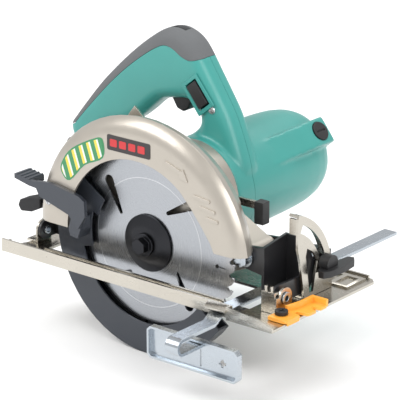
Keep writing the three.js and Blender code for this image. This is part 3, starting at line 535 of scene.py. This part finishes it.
PAINTED = {
    "motor_bracket": "cast", "guard_bearing_ring": "steel", "guard_spring": "steel",
    "light_module": "black", "light_lens": "lens", "spindle_bearing": "steel",
    "motor_bearing_front": "steel", "motor_bearing_rear": "steel", "stator_core": "iron",
    "field_coil_upper": "copper", "field_coil_lower": "copper", "brush_front": "carbon",
    "brush_rear": "carbon", "armature_shaft": "steel", "fan": "black", "armature_core": "iron",
    "armature_winding": "copper", "commutator": "copper", "spindle": "steel", "drive_gear": "steel",
    "inner_flange": "flange",
}


def body_of(node):
    return next(b for b, nodes in frame["record"]["behaviour"]["bodies"].items() if node in nodes)


def slot_of(node):
    return next(s["material_slot"] for s in frame["record"]["subparts"] if s["node"] == node)


def dress_frame():
    """Gives the metal and small moulded pieces rounded edges and their finishes."""
    F = finishes()
    scale = bpy.context.scene.saw_sizes.edge_scale
    for node, (finish, width) in DRESSED.items():
        obj = bpy.data.objects.new(node + "_finished", frame["nodes"][node].data.copy())
        bpy.context.scene.collection.objects.link(obj)
        tidy(obj, 2e-6, 0.5)
        eased(obj, width * scale)
        settle(obj, body_of(node), slot_of(node), F[finish], node)
    for node, finish in PAINTED.items():
        for slot in frame["nodes"][node].material_slots:
            slot.material = F[finish]


# ---- Moulded shell ----
GRIP_MID = (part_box("soft_grip")[0][1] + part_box("soft_grip")[1][1]) / 2
HANDLE_Y = (GRIP_MID - ARBOR.y) / MM
HANDLE_OUTER = [(-124, 58), (-121, 47), (-112, 39), (-95, 33), (-72, 27), (-40, 22), (-28, 20), (10, 20),
                (40, 26), (47, 36), (50.5, 48), (49.5, 58), (44, 74), (36, 93), (26, 109), (15, 125.5),
                (8, 136), (1, 144.5), (-7, 149.8), (-18, 152.6), (-30, 149.8), (-44, 141), (-60, 128.5),
                (-76, 114), (-92, 98), (-107, 80.5), (-119.5, 65)]
HANDLE_LOOP = [(-86, 62), (-76, 55), (-60, 51), (-40, 51), (-22, 56), (-8, 68), (4, 78), (7.5, 86),
               (4, 94.5), (-3, 98.5), (-12, 98.5), (-20, 97), (-30, 94.5), (-39, 88), (-48, 80),
               (-60, 71.5), (-74, 66.5)]
GRIP_EDGE = [(-117, 60), (-108, 70), (-92, 87), (-76, 103), (-60, 117), (-44, 129), (-32, 136.5),
             (-24, 139.5), (-16, 138), (-8, 133.5), (0, 131.5), (9, 133.5)]
TRIGGER_WELL = [(-35.5, 122), (-4, 136), (6, 114), (1, 99), (-10, 84), (-21, 86), (-28.4, 102)]
HANDLE_HALF = 13.0              # half the handle's thickness
SEAM_Y, SEAM_GAP = 60.0, 0.15   # where the housing halves meet, and half the gap between them
BRUSH_Y, BRUSH_DEG = 148, 38
BRUSH_DEGS = (BRUSH_DEG, BRUSH_DEG + 180)


def handle_form(name, half, radius):
    """The D-shaped handle with rounded flanks, from stacked outlines."""
    outer, loop = smooth_loop(HANDLE_OUTER), smooth_loop(HANDLE_LOOP)
    steps, levels = 7, []
    for k in range(steps + 1):
        a = math.pi / 2 * k / steps
        levels.append((radius * (1 - math.sin(a)), half - radius + radius * math.cos(a)))
    points, faces, n, m = [], [], len(outer), len(loop)
    # the first and last rings are the flat flanks, the middle pair the full outline
    order = [(d, -h) for d, h in levels] + [(d, h) for d, h in reversed(levels)]
    for d, h in order:
        points += [at(x, HANDLE_Y + h, z) for x, z in inset(outer, d) + inset(loop, -d)]
    size = n + m
    for k in range(len(order) - 1):
        for start, count in ((0, n), (n, m)):
            for i in range(count):
                a, b = k * size + start + i, k * size + start + (i + 1) % count
                faces.append((a, b, b + size, a + size))
    for k in (0, len(order) - 1):
        d = order[k][0]
        flat = [[Vector((x, z, 0)) for x, z in line] for line in (inset(outer, d), inset(loop, -d))]
        faces += [tuple(k * size + i for i in t) for t in tessellate_polygon(flat)]
    return sheet(name, points, faces)


def about_motor(deg):
    """Turns a piece that points along +X so that it points out of the motor's axis."""
    centre = ARBOR + Vector((MOTOR.x, 0, MOTOR.z))
    turn = Matrix.Rotation(-math.radians(deg), 4, "Y")
    return Matrix.Translation(centre) @ turn @ Matrix.Translation(-ARBOR)


def brush_boss(deg):
    ramp = [(30, 84), (39.5, 84), (44, 122), (47.3, 138), (47.5, 158), (43, 163), (30, 163)]
    boss = prism("boss", [ramp], -11, 11, lambda r, y, level: at(r, y, level))
    boss.data.transform(about_motor(deg))
    return boss


def radial_rod(r, near, far, deg, y):
    points = [polar(r, 15 * i) for i in range(24)]
    rod = prism("rod", [points], near, far, lambda u, v, level: at(level, y + u, v))
    rod.data.transform(about_motor(deg))
    return rod


def grip_zone(grow):
    """The part of the handle that the soft grip covers, its lower edge moved down by a gap."""
    edge = [(x + 0.7 * grow, z - 0.7 * grow) for x, z in smooth_edge()]
    edge[0] = (edge[0][0], edge[0][1] - grow)
    return side_plate("zone", [edge + [(30, 160), (-60, 175), (-140, 90), (-140, 50)]], 38, 82)


def smooth_edge(steps=5):
    """The grip's lower edge as a smooth open curve."""
    first, second, third, last = (Vector(GRIP_EDGE[i]) for i in (0, 1, -2, -1))
    padded = [tuple(2 * first - second)] + GRIP_EDGE + [tuple(2 * last - third)]
    return smooth_loop(padded, steps)[steps:steps * len(GRIP_EDGE) + 1]


def motor_barrel():
    profile = [(0, 40.4), (41.2, 40.4), (42, 41.2), (42, 59.4), (41.4, 60), (42, 60.6), (41.7, 72),
               (41.0, 100), (40.4, 120), (39.9, 134), (39.0, 146), (37.2, 156), (34.5, 163), (30.5, 168),
               (24, 171.2), (14, 172.7), (0, 173)]
    return turned("barrel", profile, (MOTOR.x / MM, MOTOR.z / MM), 96)


def shell_body():
    """The two moulded halves in one, with every edge eased as the mould leaves it."""
    body = handle_form("shell", HANDLE_HALF, 9.5)
    for part in (motor_barrel(), *map(brush_boss, BRUSH_DEGS)):
        boolean(body, part, "UNION")
    step = body.modifiers.new("skin", "REMESH")
    step.mode, step.voxel_size = "VOXEL", bpy.context.scene.saw_sizes.shell_detail * MM
    soften = body.modifiers.new("soften", "SMOOTH")
    soften.factor, soften.iterations = 0.5, 7
    return baked(body)


def split(obj, name, y, keep_above):
    """One side of a body parted at a level of y, closed along the cut."""
    part = bpy.data.objects.new(name, obj.data.copy())
    bpy.context.scene.collection.objects.link(part)
    work = bmesh.new()
    work.from_mesh(part.data)
    whole = work.verts[:] + work.edges[:] + work.faces[:]
    cut = bmesh.ops.bisect_plane(work, geom=whole, plane_co=at(0, y, 0), plane_no=(0, 1, 0),
                                 clear_inner=keep_above, clear_outer=not keep_above)
    rim = [e for e in cut["geom_cut"] if isinstance(e, bmesh.types.BMEdge)]
    bmesh.ops.holes_fill(work, edges=rim)
    work.to_mesh(part.data)
    work.free()
    return part


def shell_cutters():
    """Everything that opens the shell: trigger and switch wells, brush holes and air vents."""
    cutters = [side_plate("well", [TRIGGER_WELL], 53.4, 66.6), switch_well(), button_well()]
    cutters += [radial_rod(8.2, 33, 52, deg, BRUSH_Y) for deg in BRUSH_DEGS]
    x, z = MOTOR.x / MM, MOTOR.z / MM
    cutters += [block("vent", x - 60, x - 25, 100, 122, z + up, z + up + 4) for up in (-20, -8, 4, 16)]
    return merged("cutters", cutters)


def button_well():
    return block("well", -25, -11, 56.4, 63.6, 136, 160)


def switch_well():
    box = block("well", -11, 11, -4, 6, -6, 6)
    box.data.transform(switch_place())
    return box


def switch_place():
    centre = middle("light_switch")
    return (Matrix.Translation(centre + Vector((0, 0.3 * MM, 0))) @ Matrix.Rotation(math.radians(51), 4, "Y")
            @ Matrix.Translation(-ARBOR))


def build_shell():
    """Makes the housing halves and the soft grip."""
    F = finishes()
    body = shell_body()
    grip = bpy.data.objects.new("grip", body.data.copy())
    bpy.context.scene.collection.objects.link(grip)
    boolean(grip, grip_zone(0.0), "INTERSECT")
    boolean(grip, button_well(), "DIFFERENCE")
    boolean(body, grip_zone(0.35), "DIFFERENCE")
    boolean(body, shell_cutters(), "DIFFERENCE")
    near = split(body, "handle_cover_shell", SEAM_Y - SEAM_GAP, False)
    far = split(body, "motor_housing_shell", SEAM_Y + SEAM_GAP, True)
    bpy.data.objects.remove(body)
    for part, node, finish in ((near, "handle_cover", "teal"), (far, "motor_housing", "teal"),
                               (grip, "soft_grip", "grip")):
        eased(part, 0, angle=50)
        settle(part, "saw", slot_of(node), F[finish], node)
    grip.name = "soft_grip_skin"


# ---- Blade ----
# radius and degrees past the tooth, from its tip down into the gullet and up the next tooth's back
GULLET = [(BLADE_R - 0.5, -0.1), (80.2, 0.25), (78.4, 0.6), (77.3, 1.3), (77.2, 2.0), (78.2, 2.7),
          (79.8, 3.6), (80.9, 5.0)]


def build_blade():
    """Makes the blade plate with its gullets, slots and slits, and brazes a tip on each tooth."""
    F = finishes()
    count = bpy.context.scene.saw_sizes.teeth
    pitch, edge = 360 / count, []
    for i in range(count):
        deg = i * pitch
        edge += [polar(r, deg + on) for r, on in (*GULLET, (BLADE_R - 0.8, pitch - 1.4))]
    loops = [edge, [polar(10, -9 * i) for i in range(40)]]
    loops += [teardrop(deg) for deg in SLOT_DEGS] + [slit(deg) for deg in SLIT_DEGS]
    plate = side_plate("blade_plate", loops, -BLADE_HALF, BLADE_HALF)
    settle(eased(plate, 0.12, 1), "spindle_body", "blade_steel", F["blade"], "blade")
    tip = local_block("tip", 2.6, 1.6, 1.1)
    tips = arc_of("carbide_tips", tip, count, BLADE_R - 1.35, 0.45, pitch, F["carbide"],
                  Matrix.Translation(ARBOR))
    settle(tips, "spindle_body", "blade_steel", F["carbide"])
    rims = [[polar(51, 3 * i) for i in range(120)], [polar(50.4, -3 * i) for i in range(120)]]
    band = side_plate("blade_print", rims, -0.82, -0.74)
    for deg in SLOT_DEGS:
        grown = inset(teardrop(deg)[::-1], -0.8)
        boolean(band, side_plate("clear", [grown], -2, 1), "DIFFERENCE")
    settle(band, "spindle_body", "blade_steel", F["steel"])


def teardrop(deg):
    """A cooling slot: wide at its outer end, narrow at its inner one."""
    nx, nz = polar(33, deg)
    wx, wz = polar(57, deg - 13)
    lean = math.degrees(math.atan2(wz - nz, wx - nx))
    points = [polar(4.2, lean + a, wx, wz) for a in range(-90, 91, 18)]
    return points + [polar(1.5, lean + a, nx, nz) for a in range(90, 271, 30)]


def slit(deg):
    """An expansion slit: a round end from which a hair-thin cut runs out towards the rim."""
    x, z = polar(65.5, deg)
    hole = [polar(1.7, a, x, z) for a in range(deg + 12, deg + 349, 24)]
    return hole + [polar(74.5, deg - 0.28), polar(74.5, deg + 0.28)]


# ---- Markings ----
def build_markings():
    """Makes the plain badge, the banded decal, the raised bars, the arrow and the scale."""
    F = finishes()
    face = CASE_FACE
    badge = side_plate("case_badge", [rounded(-27, 15, 72.5, 84.5, 1.5)], face - 0.35, face + 0.2)
    settle(eased(badge, 0.12, 1), "saw", "black_plastic", F["badge"])
    bars = [side_plate("bar", [rounded(x, x + 6.8, 75.6, 81.4, 1.0)], face - 0.5, face - 0.3)
            for x in (-24, -15, -6, 3)]
    settle(merged("case_badge_bars", bars), "saw", "black_plastic", F["badge_bar"])
    outline = smooth_loop([(-73.3, 44.7), (-65.2, 39.9), (-49.7, 55.2), (-31.6, 64.5), (-31.3, 78.6),
                           (-39.2, 78.6), (-62.6, 66), (-73.1, 52.7)], 4)
    decal_edge = side_plate("case_decal_edge", [outline], face - 0.2, face + 0.1)
    settle(decal_edge, "saw", "black_plastic", F["decal_edge"])
    decal = side_plate("case_decal", [inset(outline, 1.3)], face - 0.32, face - 0.15)
    settle(decal, "saw", "black_plastic", F["decal"])
    raised = [side_plate("bar", [slanted(a, b, 1.3)], face - 0.95, face + 0.3) for a, b in
              (((56.2, 53.2), (70.5, 51.7)), ((61.8, 46), (75.4, 44.4)), ((68.3, 38.9), (78.2, 37.6)))]
    arrow = [(28.8, 72.2), (43, 67.6), (42, 64.2), (50.6, 62.6), (46.2, 71.8), (45, 70), (29.6, 75)]
    raised.append(side_plate("arrow", [arrow], face - 0.95, face + 0.3))
    settle(eased(merged("case_raised_marks", raised), 0.2), "saw", "cast_metal", F["case"])
    build_scale()


def rounded(x0, x1, z0, z1, r):
    """An upright rectangle's outline with rounded corners."""
    corners = ((x1 - r, z1 - r, 0), (x0 + r, z1 - r, 90), (x0 + r, z0 + r, 180), (x1 - r, z0 + r, 270))
    return [polar(r, a + 22.5 * k, x, z) for x, z, a in corners for k in range(5)]


def slanted(a, b, half):
    """The outline of a bar from a to b with blunt pointed ends."""
    u = (Vector(b) - Vector(a)).normalized() * half
    n = Vector((-u.y, u.x))
    a, b = Vector(a), Vector(b)
    return [tuple(p) for p in (a - n, b - n, b + u * 0.6, b + n, a + n, a - u * 0.6)]


def build_scale():
    """Graduates the bevel quadrant's rim."""
    F = finishes()
    pivot = middle("front_pivot_pin")
    stand = Matrix.Translation(Vector((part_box("bevel_quadrant")[1][0] - 4.5 * MM, pivot.y, pivot.z)))
    face_front = stand @ Matrix.Rotation(math.radians(90), 4, "Z")
    for name, count, step, length in (("fine_ticks", 46, 1.5, 3.2), ("main_ticks", 7, 10.0, 6.0)):
        tick = local_block("tick", 0.3, length, 0.35)
        ticks = arc_of("quadrant_" + name, tick, count, 60.62, 2.0, step, F["ink"], face_front)
        settle(ticks, "base", "black_plastic", F["ink"])


# ---- Screws ----
def screw_head(r, height):
    """A pan head with a cross recess, about the origin, pointing towards -Y."""
    profile = [(0, 0), (r, 0), (r, -height * 0.35), (r * 0.86, -height * 0.8), (r * 0.5, -height),
               (0, -height)]
    head = turned("head", profile, sides=28)
    for sx, sz in ((r * 0.62, r * 0.15), (r * 0.15, r * 0.62)):
        boolean(head, block("recess", -sx, sx, -height - 1, -height * 0.45, -sz, sz), "DIFFERENCE")
    return head


def screws(name, spots, r, height, body, finish, slot, turn=None):
    F = finishes()
    heads = []
    for x, y, z in spots:
        head = screw_head(r, height)
        if turn:
            head.data.transform(Matrix.Translation(ARBOR) @ turn @ Matrix.Translation(-ARBOR))
        head.data.transform(Matrix.Translation(Vector((x, y, z)) * MM))
        heads.append(head)
    settle(eased(merged(name, heads), 0), body, slot, F[finish])


def build_hardware():
    """Adds the screws of the case and the shell, and the base's rivets."""
    near = HANDLE_Y - HANDLE_HALF + 0.4
    screws("shell_screws", [(36, near, 60), (22, near, 97), (-98, near, 52)], 3.1, 1.4, "saw", "steel",
           "machined_steel")
    screws("case_screws", [(-88, -15.6, 18)], 3.0, 1.3, "saw", "steel", "machined_steel")
    up = Matrix.Rotation(math.radians(-90), 4, "X")
    base_top = (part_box("bevel_quadrant")[0][2] - ARBOR.z) / MM + 2.0
    rivets = [(116.5, 34, base_top), (116.5, 57, base_top)]
    screws("base_rivets", rivets, 2.6, 1.2, "base", "zinc", "zinc_steel", up)


# ---- Stage ----
# place in metres, width in metres, power in watts
SOFTBOXES = (((-0.9, -1.3, 1.5), 1.2, 26), ((1.5, -0.7, 0.9), 1.0, 14), ((0.1, 0.9, 1.8), 1.4, 18))


def build_stage():
    """Sets the pale floor, the soft lights and the camera."""
    scene = bpy.context.scene
    f = Finish("studio_floor", specular=0.2)
    fleck = f.noise(60.0, 2.0)
    f.end(Base_Color=f.mix((0.90, 0.90, 0.90, 1), (0.94, 0.94, 0.94, 1), fleck), Roughness=0.75 + fleck * 0.1)
    work, r = bmesh.new(), 6.0
    for x, y in ((-r, -r), (r, -r), (r, r), (-r, r)):
        work.verts.new((x, y, FLOOR_Z))
    work.faces.new(work.verts)
    mesh = bpy.data.meshes.new("floor")
    work.to_mesh(mesh)
    work.free()
    mesh.materials.append(f.material)
    floor = bpy.data.objects.new("floor", mesh)
    scene.collection.objects.link(floor)
    world = bpy.data.worlds.new("studio")
    scene.world = world
    world.use_nodes = True
    sky = world.node_tree.nodes["Background"]
    sky.inputs[0].default_value, sky.inputs[1].default_value = (1.0, 1.0, 1.0, 1), 0.75
    for spot, size, power in SOFTBOXES:
        light = bpy.data.lights.new("softbox", "AREA")
        light.size, light.energy = size, power
        lamp = bpy.data.objects.new("softbox", light)
        lamp.location = spot
        lamp.rotation_euler = (Vector((0, 0, 0.04)) - Vector(spot)).to_track_quat("-Z", "Y").to_euler()
        scene.collection.objects.link(lamp)
    scene.view_settings.view_transform = "Standard"
    build_camera()


def build_camera():
    azimuth, elevation, reach = math.radians(38.95), math.radians(19.17), 1808.15
    right = Vector((math.cos(azimuth), math.sin(azimuth), 0))
    look = Vector((-math.sin(azimuth) * math.cos(elevation), math.cos(azimuth) * math.cos(elevation),
                   -math.sin(elevation)))
    up = right.cross(look)
    sight = bpy.data.cameras.new("camera")
    sight.lens, sight.sensor_width, sight.clip_end = 216.0, 36.0, 50.0
    camera = bpy.data.objects.new("camera", sight)
    place = ARBOR + (right * 37.90 + up * 31.93 - look * reach) * MM
    turn = Matrix((right, up, -look)).transposed().to_4x4()
    camera.matrix_world = Matrix.Translation(place) @ turn
    bpy.context.scene.collection.objects.link(camera)
    bpy.context.scene.camera = camera


# ---- Add-on ----
def colour(label, words, value):
    return FloatVectorProperty(name=label, description=words, subtype="COLOR", size=3, min=0, max=1,
                               default=value)


class SawColours(bpy.types.PropertyGroup):
    """Colours of the saw's main surfaces."""
    housing: colour("Housing", "Moulded motor housing and handle", (0.045, 0.29, 0.26))
    grip: colour("Grip", "Soft overmoulded grip", (0.125, 0.13, 0.135))
    case: colour("Blade case", "Metallic paint of the fixed blade case", (0.44, 0.405, 0.355))
    guard: colour("Guard", "Paint of the lower guard and its lever", (0.042, 0.048, 0.06))
    base: colour("Base", "Nickel plate of the base", (0.52, 0.49, 0.435))


class SawSizes(bpy.types.PropertyGroup):
    """Sizes that a maker might change."""
    teeth: IntProperty(name="Teeth", description="Teeth around the blade", default=48, min=12, max=80)
    edge_scale: FloatProperty(name="Edge scale", default=1.0, min=0.1, max=2,
                              description="Scale of the frame pieces' rounded edges")
    shell_detail: FloatProperty(name="Shell detail", default=1.4, min=0.8, max=4,
                                description="Grain of the moulded shell's surface, millimetres")


def operator(key, label, words, work):
    def execute(self, context):
        work()
        return {"FINISHED"}
    return type("SAW_OT_" + key, (bpy.types.Operator,), {"__doc__": words, "bl_idname": "saw." + key,
                                                          "bl_label": label, "execute": execute})


STEPS = [
    operator("frame_parts", "Dress frame parts", "Rounds and paints the frame's metal and small pieces",
             dress_frame),
    operator("shell", "Build shell", "Builds the moulded housing halves and the soft grip", build_shell),
    operator("blade", "Build blade", "Builds the blade plate and its carbide tips", build_blade),
    operator("markings", "Build markings", "Adds badge, decal, raised marks and scale", build_markings),
    operator("hardware", "Build hardware", "Adds the screws", build_hardware),
    operator("stage", "Build stage", "Adds floor, lights and camera", build_stage),
]


class SAW_PT_panel(bpy.types.Panel):
    """Lists the saw's settings and build steps."""
    bl_idname = "SAW_PT_panel"
    bl_label = "Circular saw"
    bl_space_type = "VIEW_3D"
    bl_region_type = "UI"
    bl_category = "Saw"

    def draw(self, context):
        for group, cls in ((context.scene.saw_colours, SawColours), (context.scene.saw_sizes, SawSizes)):
            for key in cls.__annotations__:
                self.layout.prop(group, key)
        for step in STEPS:
            self.layout.operator(step.bl_idname)


CLASSES = [SawColours, SawSizes, *STEPS, SAW_PT_panel]


def register():
    for cls in CLASSES:
        bpy.utils.register_class(cls)
    bpy.types.Scene.saw_colours = PointerProperty(type=SawColours)
    bpy.types.Scene.saw_sizes = PointerProperty(type=SawSizes)


def unregister():
    del bpy.types.Scene.saw_colours, bpy.types.Scene.saw_sizes
    for cls in reversed(CLASSES):
        bpy.utils.unregister_class(cls)


def main():
    register()
    for key in ("frame_parts", "shell", "blade", "markings", "hardware", "stage"):
        getattr(bpy.ops.saw, key)()


if __name__ == "__main__":
    main()
